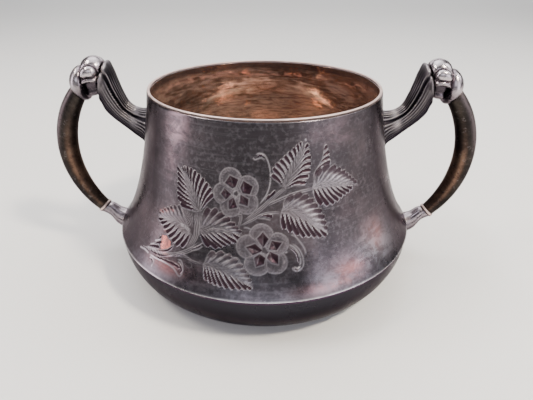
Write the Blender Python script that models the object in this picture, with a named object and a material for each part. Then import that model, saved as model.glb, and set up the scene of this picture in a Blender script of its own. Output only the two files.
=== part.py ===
"""Open two-handled sugar bowl in silver-plated metal, at real size.

The frame: the origin is in the middle of the flat base, +Z is up, and the handles lie along X.
Sizes are written in millimetres and turned into metres by MM.

The bowl is a waisted wall on a shallow dish, with a wire round the lip.  Each handle is six soldered
pieces in one plane: an arm clad in leaf ribs, a knuckle of rolled leaf tips, a collar, a plain curved
bow, a thin ferrule and a flared socket.  Touching pieces keep a gap for their solder.
"""
import math

import bmesh
import bpy
from mathutils import Vector

MM = 0.001

# The bowl.
RIM_RADIUS = 48.0
RIM_HEIGHT = 81.5
SHOULDER_RADIUS = 65.9
SHOULDER_HEIGHT = 21.6
BASE_RADIUS = 50.0
WALL_THICKNESS = 1.2
DISH_THICKNESS = 1.4
RIM_WIRE_WIDTH = 1.8
RIM_WIRE_HEIGHT = 1.1
RIM_WIRE_SIDES = 8
RIM_OVERHANG = 0.5
SOLDER_GAP = 0.3
ROUND_STEPS = 64
PROFILE_STEPS = 10
SHARP_ANGLE = math.radians(35)

# The two inner control points of the wall's curve: out from the lip and down from it, then in from the
# shoulder and up from it.
WAIST_OUT, WAIST_DOWN = 2.5, 23.5
FLARE_IN, FLARE_UP = 9.3, 11.4

# The guide that trims the handles' feet stands this far above the lip.
GUIDE_RISE = 1.0

# The bow is an arc in the handle's plane; angles are measured at its centre from the level.
BOW_CENTRE = (47.0, 50.3)
BOW_RADIUS = 41.3
BOW_HEAD_ANGLE = 40.0
BOW_FOOT_ANGLE = -42.0
BOW_HEAD_TILT = 12.0
BOW_TILTED_SHARE = 0.2
BOW_HALF_THICKNESS = (3.7, 5.3, 3.1)
BOW_ROUNDNESS = 0.96
BOW_STEPS = 14
FERRULE_LENGTH = 1.0
FERRULE_HALF = 3.8
TUBE_SIDES = 20

# The ferrule's rounded outline: place along its half length, share of its full size.
FERRULE_PROFILE = ((1.0, 0.86), (0.6, 1.0), (-0.6, 1.0), (-1.0, 0.86))

# The other handle pieces are lofted through sections square to the handle's plane.  A section is its
# lower end (x, z), its upper end (x, z) and its half width across the plane.
COLLAR_SECTIONS = (
    ((76.75, 74.8), (81.3, 80.6), 4.1),
    ((76.1, 74.4), (80.5, 83.2), 5.2),
    ((75.3, 74.3), (79.1, 85.6), 6.0),
    ((74.45, 74.5), (77.3, 87.3), 6.2),
    ((73.65, 74.9), (75.35, 88.3), 5.9),
)
KNUCKLE_SECTIONS = (
    ((73.35, 75.3), (74.95, 88.1), 5.9),
    ((72.6, 75.1), (73.6, 90.0), 6.8),
    ((71.7, 75.2), (71.6, 91.1), 7.2),
    ((70.8, 75.4), (69.6, 91.5), 7.3),
    ((69.9, 75.7), (67.6, 90.8), 7.1),
    ((69.3, 76.0), (66.2, 89.6), 6.5),
)
ARM_SECTIONS = (
    ((68.9, 76.0), (65.8, 89.6), 6.4),
    ((68.7, 74.0), (64.2, 89.0), 6.8),
    ((68.4, 71.8), (62.7, 86.3), 6.6),
    ((67.6, 69.5), (61.5, 81.6), 6.2),
    ((65.2, 66.6), (60.1, 77.0), 5.7),
    ((62.2, 63.9), (58.3, 72.9), 5.2),
    ((59.3, 61.4), (56.0, 70.8), 5.0),
    ((56.2, 58.7), (53.9, 70.0), 5.4),
    ((52.6, 55.6), (51.6, 69.9), 6.3),
    ((45.0, 49.5), (45.0, 70.5), 7.6),
)
SOCKET_SECTIONS = (
    ((74.9, 17.1), (72.9, 23.2), 3.3),
    ((71.8, 12.7), (70.0, 20.9), 4.0),
    ((66.5, 10.2), (66.0, 19.9), 4.8),
    ((60.0, 8.6), (60.0, 19.8), 5.6),
)

# Raised ridges round the knuckle and the arm: (turn from the top in degrees, width in radians), and how
# far the skin falls between them, as a share of the section.
KNUCKLE_RIDGES = ((0.0, 0.62), (68.0, 0.22), (-68.0, 0.22))
KNUCKLE_FALL = 0.14
KNUCKLE_SIDES = 28
ARM_RIDGES = ((0.0, 0.55), (84.0, 0.5), (-84.0, 0.5))
ARM_FALL = 0.12
ARM_SIDES = 24


def bezier(points, t):
    """Point at t on the Bezier curve with these control points."""
    points = [Vector(p) for p in points]
    while len(points) > 1:
        points = [a.lerp(b, t) for a, b in zip(points, points[1:])]
    return points[0]


def material(name, colour, roughness):
    """Plated metal of one colour."""
    made = bpy.data.materials.new(name)
    made.use_nodes = True
    shader = made.node_tree.nodes["Principled BSDF"]
    shader.inputs["Base Color"].default_value = (*colour, 1.0)
    shader.inputs["Metallic"].default_value = 1.0
    shader.inputs["Roughness"].default_value = roughness
    return made


def finished(name, work):
    """Mesh from closed bmesh work: faces outwards, smooth but for the sharp edges."""
    bmesh.ops.recalc_face_normals(work, faces=work.faces)
    if work.calc_volume(signed=True) < 0:
        bmesh.ops.reverse_faces(work, faces=work.faces)
    mesh = bpy.data.meshes.new(name)
    work.to_mesh(mesh)
    work.free()
    mesh.shade_smooth()
    mesh.set_sharp_from_angle(angle=SHARP_ANGLE)
    return mesh


def mesh_from_rings(name, rings, closed_loop=False):
    """Closed surface through rings of points; the ends are capped unless the rings form a loop."""
    work = bmesh.new()
    made = [[work.verts.new(Vector(p) * MM) for p in ring] for ring in rings]
    pairs = list(zip(made, made[1:]))
    if closed_loop:
        pairs.append((made[-1], made[0]))
    for low, high in pairs:
        count = len(low)
        for i in range(count):
            j = (i + 1) % count
            work.faces.new((low[i], low[j], high[j], high[i]))
    if not closed_loop:
        work.faces.new(list(reversed(made[0])))
        work.faces.new(made[-1])
    return finished(name, work)


def place(name, mesh, finish, parent=None):
    """Put a mesh in the scene as one named piece."""
    piece = bpy.data.objects.new(name, mesh)
    bpy.context.scene.collection.objects.link(piece)
    piece.parent = parent
    if finish is not None:
        piece.data.materials.clear()
        piece.data.materials.append(finish)
    return piece


# ---------------------------------------------------------------- the bowl

def wall_curve():
    """Outer outline of the wall, lip to shoulder, as (radius, height)."""
    lip = (RIM_RADIUS - RIM_OVERHANG, RIM_HEIGHT)
    waist = (RIM_RADIUS + WAIST_OUT, RIM_HEIGHT - WAIST_DOWN)
    flare = (SHOULDER_RADIUS - FLARE_IN, SHOULDER_HEIGHT + FLARE_UP)
    shoulder = (SHOULDER_RADIUS, SHOULDER_HEIGHT)
    return [bezier((lip, waist, flare, shoulder), i / PROFILE_STEPS) for i in range(PROFILE_STEPS + 1)]


def dish_curve():
    """Outer outline of the dish, shoulder to the edge of the flat base: a quarter ellipse."""
    points = []
    for i in range(PROFILE_STEPS + 1):
        angle = math.radians(90.0 * i / PROFILE_STEPS)
        radius = BASE_RADIUS + (SHOULDER_RADIUS - BASE_RADIUS) * math.cos(angle)
        points.append(Vector((radius, SHOULDER_HEIGHT * (1.0 - math.sin(angle)))))
    return points


def inward(points, distance):
    """The outline moved towards the axis, square to itself; it runs downwards."""
    moved = []
    for i, point in enumerate(points):
        along = (points[min(i + 1, len(points) - 1)] - points[max(i - 1, 0)]).normalized()
        moved.append(point + Vector((along.y, -along.x)) * distance)
    return moved


def between_heights(points, low, high):
    """The part of a falling outline between two heights, cut level at both."""
    kept = []
    for a, b in zip(points, points[1:]):
        top, foot = min(a.y, high), max(b.y, low)
        if top <= foot:
            continue
        for height in (top, foot):
            point = a.lerp(b, (a.y - height) / (a.y - b.y))
            if not kept or (kept[-1] - point).length > 1e-6:
                kept.append(point)
    return kept


def revolve(name, outline, closed_loop=True):
    """Turn an outline of (radius, height) about Z, in ROUND_STEPS facets."""
    rings = []
    for i in range(ROUND_STEPS):
        turn = 2.0 * math.pi * i / ROUND_STEPS
        rings.append([(r * math.cos(turn), r * math.sin(turn), z) for r, z in outline])
    return mesh_from_rings(name, rings, closed_loop)


def revolve_to_axis(name, outline):
    """Turn an outline that starts and ends on the axis; its ends become fans."""
    work = bmesh.new()
    first = work.verts.new((0.0, 0.0, outline[0][1] * MM))
    last = work.verts.new((0.0, 0.0, outline[-1][1] * MM))
    columns = []
    for i in range(ROUND_STEPS):
        turn = 2.0 * math.pi * i / ROUND_STEPS
        column = [work.verts.new((r * MM * math.cos(turn), r * MM * math.sin(turn), z * MM))
                  for r, z in outline[1:-1]]
        columns.append(column)
    for here, there in zip(columns, columns[1:] + columns[:1]):
        work.faces.new((first, here[0], there[0]))
        work.faces.new((last, there[-1], here[-1]))
        for i in range(len(here) - 1):
            work.faces.new((here[i], here[i + 1], there[i + 1], there[i]))
    return finished(name, work)


def make_wall(finish):
    """Waisted wall between the lip wire and the shoulder seam."""
    low = SHOULDER_HEIGHT + SOLDER_GAP / 2
    high = RIM_HEIGHT - RIM_WIRE_HEIGHT - SOLDER_GAP
    outer = wall_curve()
    inner = inward(outer, WALL_THICKNESS)
    inner = between_heights(inner, low, high)
    outline = between_heights(outer, low, high) + list(reversed(inner))
    return place("body_wall", revolve("body_wall", outline), finish)


def make_dish(finish):
    """Shallow dish under the shoulder, with the flat base."""
    top = SHOULDER_HEIGHT - SOLDER_GAP / 2
    outer = between_heights(dish_curve(), 0.0, top)
    inner = inward(dish_curve(), DISH_THICKNESS)
    inner = between_heights(inner, DISH_THICKNESS, top)
    inner[-1].y = DISH_THICKNESS
    outline = [Vector((0.0, DISH_THICKNESS))] + list(reversed(inner)) + outer + [Vector((0.0, 0.0))]
    return place("body_dish", revolve_to_axis("body_dish", outline), finish)


def make_rim_wire(finish):
    """Rounded wire that finishes the lip."""
    half_width = RIM_WIRE_WIDTH / 2
    half_height = RIM_WIRE_HEIGHT / 2
    half_side = math.pi / RIM_WIRE_SIDES
    corner = 1.0 / math.cos(half_side)
    outline = []
    for i in range(RIM_WIRE_SIDES):
        turn = half_side * (2 * i + 1)
        radius = RIM_RADIUS - half_width + half_width * corner * math.cos(turn)
        height = RIM_HEIGHT - half_height + half_height * corner * math.sin(turn)
        outline.append(Vector((radius, height)))
    return place("rim_wire", revolve("rim_wire", outline), finish)


def make_clearance():
    """Guide solid: the outside of the bowl grown by the solder gap, which trims the handles' feet."""
    grown = inward(wall_curve() + dish_curve()[1:], -SOLDER_GAP)
    top = RIM_HEIGHT + GUIDE_RISE
    outline = [Vector((0.0, top)), Vector((grown[0].x, top))] + grown + [Vector((0.0, grown[-1].y))]
    guide = place("clearance_guide", revolve_to_axis("clearance_guide", outline), None)
    guide.hide_render = True
    guide.display_type = "WIRE"
    return guide


# ---------------------------------------------------------------- the handles

def section(foot, top, half_across, sides=TUBE_SIDES, swell=None):
    """Oval ring of points from a section's two ends; turn 0 is its upper end."""
    foot, top = Vector(foot), Vector(top)
    middle = (foot + top) / 2
    half = (top - foot) / 2
    ring = []
    for i in range(sides):
        turn = 2.0 * math.pi * i / sides
        grow = 1.0 if swell is None else swell(turn)
        point = middle + half * (grow * math.cos(turn))
        ring.append((point.x, half_across * grow * math.sin(turn), point.y))
    return ring


def bow_point(angle):
    """Middle of the bow at an angle of its arc."""
    turn = math.radians(angle)
    return Vector((math.cos(turn), math.sin(turn))) * BOW_RADIUS + Vector(BOW_CENTRE)


def bow_ends(angle, half, tilt=0.0):
    """Inner and outer end of a section that sits on the bow's arc."""
    turn = math.radians(angle + tilt)
    outward = Vector((math.cos(turn), math.sin(turn))) * half
    return bow_point(angle) - outward, bow_point(angle) + outward


def bow_section(angle, half, tilt=0.0):
    """Section of a round piece that sits on the bow's arc."""
    return section(*bow_ends(angle, half, tilt), half * BOW_ROUNDNESS)


def arc_degrees(length):
    """Angle of the bow's arc that a length takes up."""
    return math.degrees(length / BOW_RADIUS)


def bow_mesh():
    """The grip, thickest in its middle, with its head turned to meet the collar."""
    rings = []
    for i in range(BOW_STEPS + 1):
        t = i / BOW_STEPS
        angle = BOW_HEAD_ANGLE + (BOW_FOOT_ANGLE - BOW_HEAD_ANGLE) * t
        half = bezier([(h, 0.0) for h in BOW_HALF_THICKNESS], t).x
        tilt = BOW_HEAD_TILT * max(0.0, 1.0 - t / BOW_TILTED_SHARE)
        rings.append(bow_section(angle, half, tilt))
    return mesh_from_rings("bow", rings)


def ferrule_mesh():
    """Thin rounded ring at the foot of the bow."""
    middle = BOW_FOOT_ANGLE - arc_degrees(SOLDER_GAP + FERRULE_LENGTH / 2)
    rings = []
    for place_along, size in FERRULE_PROFILE:
        angle = middle + arc_degrees(FERRULE_LENGTH / 2) * place_along
        rings.append(bow_section(angle, FERRULE_HALF * size))
    return mesh_from_rings("ferrule", rings)


def socket_mesh():
    """Short tube from the ferrule into the body, turning level and flaring."""
    start_angle = BOW_FOOT_ANGLE - arc_degrees(FERRULE_LENGTH + 2 * SOLDER_GAP)
    upper, lower = bow_ends(start_angle, BOW_HALF_THICKNESS[-1])
    rings = [section(lower, upper, BOW_HALF_THICKNESS[-1] * BOW_ROUNDNESS)]
    rings += [section(*ends) for ends in SOCKET_SECTIONS]
    return mesh_from_rings("socket", rings)


def collar_mesh():
    """Wedge-shaped fat ring between the bow's head and the knuckle."""
    return mesh_from_rings("collar", [section(*ends) for ends in COLLAR_SECTIONS])


def on_ridge(turn, ridges):
    """1 on the ridges round a section, falling to 0 between them."""
    gaps = [(math.remainder(turn - math.radians(middle), 2.0 * math.pi), width) for middle, width in ridges]
    return max(math.exp(-(gap / width) ** 2) for gap, width in gaps)


def ridged_ring(ends, sides, ridges, fall):
    """Section whose skin falls by this share of its size between the ridges."""
    return section(*ends, sides, lambda turn: 1.0 - fall * (1.0 - on_ridge(turn, ridges)))


def knuckle_mesh():
    """Knot of rolled tips: a dome on top and a small roll on each flank."""
    rings = []
    for i, ends in enumerate(KNUCKLE_SECTIONS):
        fullness = math.sin(math.pi * i / (len(KNUCKLE_SECTIONS) - 1))
        rings.append(ridged_ring(ends, KNUCKLE_SIDES, KNUCKLE_RIDGES, KNUCKLE_FALL * fullness))
    return mesh_from_rings("knuckle", rings)


def arm_mesh():
    """Upper arm: three leaf ribs, slim in the middle and flared at the wall."""
    rings = []
    for i, ends in enumerate(ARM_SECTIONS):
        fade = math.sin(math.pi * (i + 1) / (len(ARM_SECTIONS) + 1)) ** 0.5
        rings.append(ridged_ring(ends, ARM_SIDES, ARM_RIDGES, ARM_FALL * fade))
    return mesh_from_rings("leaf_arm", rings)


def make_handles(guide, finishes):
    """Both handles from the same six meshes, half a turn apart."""
    meshes = {
        "leaf_arm": arm_mesh(),
        "knuckle": knuckle_mesh(),
        "collar": collar_mesh(),
        "bow": bow_mesh(),
        "ferrule": ferrule_mesh(),
        "socket": socket_mesh(),
    }
    for side, turn in (("right", 0.0), ("left", math.pi)):
        root = bpy.data.objects.new(side + "_handle", None)
        bpy.context.scene.collection.objects.link(root)
        root.rotation_euler = (0.0, 0.0, turn)
        for name, mesh in meshes.items():
            piece = place(side + "_" + name, mesh, finishes[name], root)
            if name in ("leaf_arm", "socket"):
                trim = piece.modifiers.new("trim", "BOOLEAN")
                trim.operation = "DIFFERENCE"
                trim.solver = "EXACT"
                trim.object = guide


def main():
    for old in list(bpy.data.objects):
        bpy.data.objects.remove(old)
    plate = material("tarnished_plate", (0.25, 0.22, 0.23), 0.34)
    dark_plate = material("dish_plate", (0.16, 0.15, 0.17), 0.30)
    bright = material("worn_silver", (0.62, 0.60, 0.61), 0.26)
    cast = material("cast_leaf_silver", (0.30, 0.28, 0.29), 0.32)
    grip = material("toned_grip", (0.18, 0.14, 0.12), 0.36)
    make_wall(plate)
    make_dish(dark_plate)
    make_rim_wire(bright)
    guide = make_clearance()
    make_handles(guide, {"leaf_arm": cast, "knuckle": cast, "collar": cast, "bow": grip,
                         "ferrule": bright, "socket": cast})


main()
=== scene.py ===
import math

import bpy
import numpy as np
from mathutils import Matrix, Vector


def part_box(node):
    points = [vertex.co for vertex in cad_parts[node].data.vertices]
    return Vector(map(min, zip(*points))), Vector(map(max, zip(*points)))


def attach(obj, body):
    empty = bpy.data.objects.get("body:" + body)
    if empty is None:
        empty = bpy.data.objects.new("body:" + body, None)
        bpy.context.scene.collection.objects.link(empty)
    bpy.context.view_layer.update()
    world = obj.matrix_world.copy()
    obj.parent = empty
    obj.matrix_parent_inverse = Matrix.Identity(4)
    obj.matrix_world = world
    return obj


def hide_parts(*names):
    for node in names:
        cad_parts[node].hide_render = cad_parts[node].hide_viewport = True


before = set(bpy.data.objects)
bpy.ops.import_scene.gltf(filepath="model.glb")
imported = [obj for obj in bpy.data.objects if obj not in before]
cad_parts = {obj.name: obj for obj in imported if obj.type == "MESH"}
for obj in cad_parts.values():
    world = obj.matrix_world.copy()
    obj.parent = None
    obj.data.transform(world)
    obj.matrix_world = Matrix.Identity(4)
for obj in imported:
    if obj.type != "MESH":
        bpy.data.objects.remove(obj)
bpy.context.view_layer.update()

MM = 0.001
SEAM = 0.3  # the solder gap that the CAD solids keep


def node_box(node):
    """Lowest and highest corner of a CAD node, in mm."""
    low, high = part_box(node)
    return np.array(low) / MM, np.array(high) / MM


# Sizes that come from the frame, in mm.
RIM_RADIUS = node_box("rim_wire")[1][0]
RIM_HEIGHT = node_box("rim_wire")[1][2]
SHOULDER_RADIUS = node_box("body_dish")[1][0]
SHOULDER_HEIGHT = node_box("body_dish")[1][2] + SEAM / 2

# Sizes of the plate itself, in mm.
BASE_RADIUS = 50.0
WALL_THICKNESS = 1.2
DISH_THICKNESS = 1.4
LIP_SET_BACK = 0.5  # the wall ends this far inside the outer side of the lip wire
WAIST_OUT, WAIST_DOWN = 2.5, 23.5  # control point of the wall's outline, from the lip wire
FLARE_IN, FLARE_UP = 9.3, 11.4  # control point of the wall's outline, from the shoulder
DISH_EDGE = SHOULDER_RADIUS - 0.28  # the dish's edge lies just inside and under the wall's
DISH_TOP = SHOULDER_HEIGHT - 0.1
AZIMUTH_RADIUS = 55.0  # on (u, v), where the spray is drawn, u is this times the angle from the front


# ------------------------------------------------------------------ mesh helpers

def surface(name, points, closed_rows=False, values=None, inner_rows=()):
    """Closed smooth mesh through a grid of points in mm; columns run round, rows along.

    Values are grids of one number for each point.  The inner rows take the second material.
    """
    rows, cols = points.shape[:2]
    verts = points.reshape(-1, 3)
    i, j = np.meshgrid(np.arange(rows if closed_rows else rows - 1), np.arange(cols), indexing="ij")
    i2, j2 = (i + 1) % rows, (j + 1) % cols
    quads = np.stack([i * cols + j, i * cols + j2, i2 * cols + j2, i2 * cols + j], axis=-1).reshape(-1, 4)
    fans = np.zeros((0, 3), dtype=int)
    if not closed_rows:
        verts = np.vstack([verts, points[0].mean(axis=0), points[-1].mean(axis=0)])
        ring = np.arange(cols)
        after = (ring + 1) % cols
        base = (rows - 1) * cols
        start = np.stack([after, ring, np.full(cols, rows * cols)], axis=-1)
        end = np.stack([base + ring, base + after, np.full(cols, rows * cols + 1)], axis=-1)
        fans = np.vstack([start, end])
    if signed_volume(verts, quads, fans) < 0:
        quads = quads[:, ::-1]
        fans = fans[:, ::-1]
    mesh = bpy.data.meshes.new(name)
    mesh.from_pydata((verts * MM).tolist(), [], quads.tolist() + fans.tolist())
    second = np.zeros(len(quads) + len(fans), dtype=np.int32)
    second[:len(quads)] = np.isin(i.ravel(), list(inner_rows))
    second[len(quads):len(quads) + cols] = 0 in inner_rows  # the fan that closes the first row
    mesh.polygons.foreach_set("material_index", second)
    mesh.validate()
    for key, grid in (values or {}).items():
        layer = mesh.attributes.new(key, "FLOAT", "POINT")
        flat = np.zeros(len(verts), dtype=np.float32)
        flat[:rows * cols] = np.asarray(grid, dtype=np.float32).ravel()
        layer.data.foreach_set("value", flat)
    mesh.shade_smooth()
    return mesh


def signed_volume(verts, *faces):
    """Volume inside the faces; below zero where they face inwards."""
    total = 0.0
    for corners in faces:
        for k in range(2, corners.shape[1]):
            a, b, c = (verts[corners[:, corner]] for corner in (0, k - 1, k))
            total += np.einsum("ij,ij->", a, np.cross(b, c))
    return total


def add_object(name, data):
    """New object in the scene."""
    item = bpy.data.objects.new(name, data)
    bpy.context.scene.collection.objects.link(item)
    return item


def add_piece(name, mesh, finishes, node):
    """One visible piece: rides on the row's only body and stands for its CAD node."""
    piece = add_object(name, mesh)
    for finish in finishes:
        mesh.materials.append(finish)
    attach(piece, "root")
    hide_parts(node)


def smoothstep(low, high, x):
    """Smooth rise from 0 at low to 1 at high."""
    t = np.clip((x - low) / (high - low), 0.0, 1.0)
    return t * t * (3.0 - 2.0 * t)


def bump(x, at, width):
    """Bell of height 1 at a place, falling off over a width."""
    return np.exp(-((x - at) / width) ** 2)


def arch(x):
    """Root of 1 - x: the round profile of a dome or a bead, flat beyond x = 1."""
    return np.sqrt(np.clip(1 - x, 0, 1))


def bezier(points, t):
    """Points on the Bezier curve with these control points, for an array of t."""
    points = [np.asarray(p, dtype=float) for p in points]
    t = np.asarray(t)[:, None]
    while len(points) > 1:
        points = [a * (1 - t) + b * t for a, b in zip(points, points[1:])]
    return points[0]


def along(points):
    """Length along a polyline at each of its points."""
    steps = np.linalg.norm(np.diff(points, axis=0), axis=1)
    return np.concatenate([[0.0], np.cumsum(steps)])


# ------------------------------------------------------------------ the bowl's outline

def wall_outline(count=400):
    """Outer outline of the wall as (radius, height), shoulder to lip, evenly spaced."""
    lip = (RIM_RADIUS - LIP_SET_BACK, RIM_HEIGHT)
    waist = (RIM_RADIUS + WAIST_OUT, RIM_HEIGHT - WAIST_DOWN)
    flare = (SHOULDER_RADIUS - FLARE_IN, SHOULDER_HEIGHT + FLARE_UP)
    shoulder = (SHOULDER_RADIUS, SHOULDER_HEIGHT)
    points = bezier((shoulder, flare, waist, lip), np.linspace(0, 1, count))
    length = along(points)
    even = np.linspace(0, length[-1], count)
    return np.stack([np.interp(even, length, points[:, k]) for k in (0, 1)], axis=-1)


WALL = wall_outline()
WALL_LENGTH = along(WALL)[-1]


def wall_at(v):
    """Outline point (radius, height) and outward normal at lengths v above the shoulder."""
    v = np.asarray(v, dtype=float)
    length = along(WALL)
    point = np.stack([np.interp(v, length, WALL[:, k]) for k in (0, 1)], axis=-1)
    slope = np.gradient(WALL, length, axis=0)
    tangent = np.stack([np.interp(v, length, slope[:, k]) for k in (0, 1)], axis=-1)
    tangent /= np.linalg.norm(tangent, axis=-1, keepdims=True)
    normal = np.stack([tangent[..., 1], -tangent[..., 0]], axis=-1)
    return point, normal


def turned(outline, angles):
    """Grid of points: the outline (radius, height) turned about Z; angle 0 is the front, at -Y."""
    radius = outline[:, 0][:, None]
    height = np.broadcast_to(outline[:, 1][:, None], (len(outline), len(angles)))
    return np.stack([radius * np.sin(angles), -radius * np.cos(angles), height], axis=-1)


# ------------------------------------------------------------------ the engraving

def smooth_line(points, samples=24):
    """Smooth line through all the points, which may have any number of columns."""
    points = np.array(points, dtype=float)
    padded = np.vstack([2 * points[0] - points[1], points, 2 * points[-1] - points[-2]])
    spans = len(points) - 1
    x = np.linspace(0, spans, samples)
    k = np.minimum(x.astype(int), spans - 1)
    t = (x - k)[:, None]
    a, b, c, d = (padded[k + n] for n in range(4))
    return 0.5 * (2 * b + (c - a) * t + (2 * a - 5 * b + 4 * c - d) * t ** 2
                  + (3 * b - a - 3 * c + d) * t ** 3)


def line_distance(u, v, line, cap=1.0):
    """For each grid point: distance to the line, share of the way along it, and which side it is on.

    Past the line's last point, distances along it count cap times, so a cut ends squarer than round.
    """
    best = np.full(u.shape, np.inf)
    share = np.zeros(u.shape)
    side = np.ones(u.shape)
    spans = len(line) - 1
    for k in range(spans):
        a, d = line[k], line[k + 1] - line[k]
        t = np.clip(((u - a[0]) * d[0] + (v - a[1]) * d[1]) / max(d @ d, 1e-12), 0, 1)
        du, dv = u - a[0] - t * d[0], v - a[1] - t * d[1]
        gap = np.hypot(du, dv)
        nearer = gap < best
        best = np.where(nearer, gap, best)
        share = np.where(nearer, (k + t) / spans, share)
        side = np.where(nearer, np.sign(d[0] * dv - d[1] * du), side)
    heading = (line[-1] - line[-2]) / max(np.linalg.norm(line[-1] - line[-2]), 1e-9)
    past = (u - line[-1][0]) * heading[0] + (v - line[-1][1]) * heading[1]
    aside = (u - line[-1][0]) * heading[1] - (v - line[-1][1]) * heading[0]
    best = np.where((share > 0.999) & (past > 0), np.hypot(aside, cap * past), best)
    return best, share, side


def inside_outline(u, v, outline):
    """True where a grid point lies inside a closed outline (even-odd rule)."""
    inside = np.zeros(u.shape, dtype=bool)
    for (u1, v1), (u2, v2) in zip(outline, np.roll(outline, -1, axis=0)):
        if v1 == v2:
            continue
        crosses = (v1 > v) != (v2 > v)
        inside ^= crosses & (u < u1 + (v - v1) * (u2 - u1) / (v2 - v1))
    return inside


class Engraving:
    """What the graver left on a grid of (u, v): depth in mm, and how dark, bright and frosted it is; bright
    also holds the painted highlights on the leaves.
    """

    def __init__(self, u, v):
        self.u, self.v = u, v
        self.depth, self.dark, self.bright, self.frost = np.zeros((4, *u.shape))
        self.taken = np.zeros(u.shape, dtype=bool)

    def window(self, points, margin=1.5):
        """Part of the grid round these points; the grid's rows are v and its columns u."""
        low, high = np.min(points, axis=0) - margin, np.max(points, axis=0) + margin
        us, vs = self.u[0], self.v[:, 0]
        cols = np.flatnonzero((us > low[0]) & (us < high[0]))
        rows = np.flatnonzero((vs > low[1]) & (vs < high[1]))
        return slice(rows[0], rows[-1] + 1), slice(cols[0], cols[-1] + 1)

    def near(self, points, cap=1.0):
        """Window round a smooth line, and the distance, share and side of the grid points in it."""
        line = smooth_line(points, 10 if len(points) < 4 else 24)
        where = self.window(line)
        return where, *line_distance(self.u[where], self.v[where], line, cap)

    def lay(self, where, **marks):
        """Add marks inside a window, except where an earlier motif lies."""
        free = ~self.taken[where]
        for key, value in marks.items():
            layer = getattr(self, key)
            layer[where] = np.where(free, np.maximum(layer[where], value), layer[where])

    def keep_off(self, outline):
        """Later motifs leave the inside of this outline alone."""
        where = self.window(outline)
        self.taken[where] |= inside_outline(self.u[where], self.v[where], outline)

    def cut(self, points, width, depth, dark, burr, dark_from=0.0, swell=False):
        """One V cut from its first point, sharp, to its last, blunt; burr is how bright each lip is."""
        where, gap, share, side = self.near(points, 2.0)
        if swell:
            half = width * np.sin(np.pi * np.clip(share, 0.03, 0.97)) ** 0.6
        else:
            half = width * share ** 0.5 * (1 - 0.20 * smoothstep(0.8, 1.0, share))
        half = np.maximum(half, 0.04)
        groove = np.clip(1 - gap / half, 0, 1)
        ink = smoothstep(0.0, 0.22, groove)
        if dark_from > 0:
            ink = ink * smoothstep(dark_from - 0.15, dark_from + 0.15, share)
        lip = bump(gap - half, 0.06, 0.13) * smoothstep(0.0, 0.12, share)
        lip = lip * np.where(side > 0, burr[0], burr[1])
        self.lay(where, depth=depth * groove ** 0.8, dark=dark * ink, bright=lip * (1 - ink))

    def scratch(self, points, width, bright, dark=0.0, fade=0.15):
        """One fine bright line, or a dark one, that fades at both ends over a share of its length."""
        where, gap, share, _ = self.near(points)
        ends = smoothstep(-0.01, fade, share) * (1 - smoothstep(1 - fade, 1.01, share))
        mark = bump(gap, 0.0, width) * ends
        self.lay(where, depth=0.05 * mark, dark=dark * mark, bright=bright * mark)

    def strands(self, first, last, count, bright, dark, widths):
        """Bright lines from one line to another, and dark ones between them."""
        for k in range(count):
            self.scratch(between(first, last, k / (count - 1)), widths[0], bright)
        for k in range(count - 1):
            self.scratch(between(first, last, (k + 0.5) / (count - 1)), widths[1], 0.0, dark)


def between(first, last, share):
    """Line part of the way from one line to another; both have the same number of points."""
    return np.array(first) * (1 - share) + np.array(last) * share


def bowed(start, end, bow):
    """Start, middle and end of a line that bends to its left by a share of its length."""
    chord = end - start
    return start, (start + end) / 2 + bow * np.array([-chord[1], chord[0]]), end


def leaf_half(art, edge, rib, cuts, heart, bow, fill, burr, depth=0.42, dark=1.0, dark_from=0.0,
              gleam=0.0, gleam_at=0.6):
    """Half a leaf: cuts that widen from its rib to its edge, and fine bright lines on the ridges between
    them; gleam paints a highlight along the ridges, strongest at gleam_at.
    """
    outer, inner = smooth_line(edge, 8 * cuts + 1), smooth_line(rib, 8 * cuts + 1)
    middle_line = smooth_line(heart, 8 * cuts + 1)
    step = np.linalg.norm(np.gradient(outer[4::8], axis=0), axis=1)
    for k in range(cuts):
        line = bowed(inner[8 * k + 4], outer[8 * k + 4], bow)
        art.cut(line, 0.5 * fill * step[k], depth, dark, burr, dark_from)
    for k in range(cuts + 1):
        start, middle, end = bowed(inner[8 * k], outer[8 * k], bow)
        root = middle_line[max(8 * k - 16, 0)]
        art.scratch((root, start, start + 0.7 * (middle - start)), 0.13, 0.35)
        # Painted highlight: a soft bright stroke on each ridge, strongest at gleam_at.
        if gleam > 0:
            peak = gleam * bump(k / cuts, gleam_at, 0.32)
            art.scratch((start, middle, middle + 0.5 * (end - middle)), 0.30, peak, fade=0.3)


def leaf(art, base, tip, halves, ground=0.28, veins=()):
    """A leaf of one or two halves on its frosted ground; later motifs keep off it."""
    base, tip = np.array(base, dtype=float), np.array(tip, dtype=float)
    edges = [smooth_line(half["edge"], 60) for half in halves]
    ribs = [smooth_line(half["rib"], 5) for half in halves]
    inner_side = edges[1] if len(edges) == 2 else smooth_line(halves[0]["rib"], 60)
    outline = np.vstack([base, edges[0], tip, inner_side[::-1]])
    heart = np.vstack([base, np.mean(ribs, axis=0)[1:-1], tip])
    where = art.window(outline)
    art.lay(where, frost=ground * inside_outline(art.u[where], art.v[where], outline))
    for first, last, count, bright, dark in veins:
        art.strands(first, last, count, bright, dark, (0.14, 0.20))
    for half in halves:
        leaf_half(art, heart=heart, **half)
    art.keep_off(outline)


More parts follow.
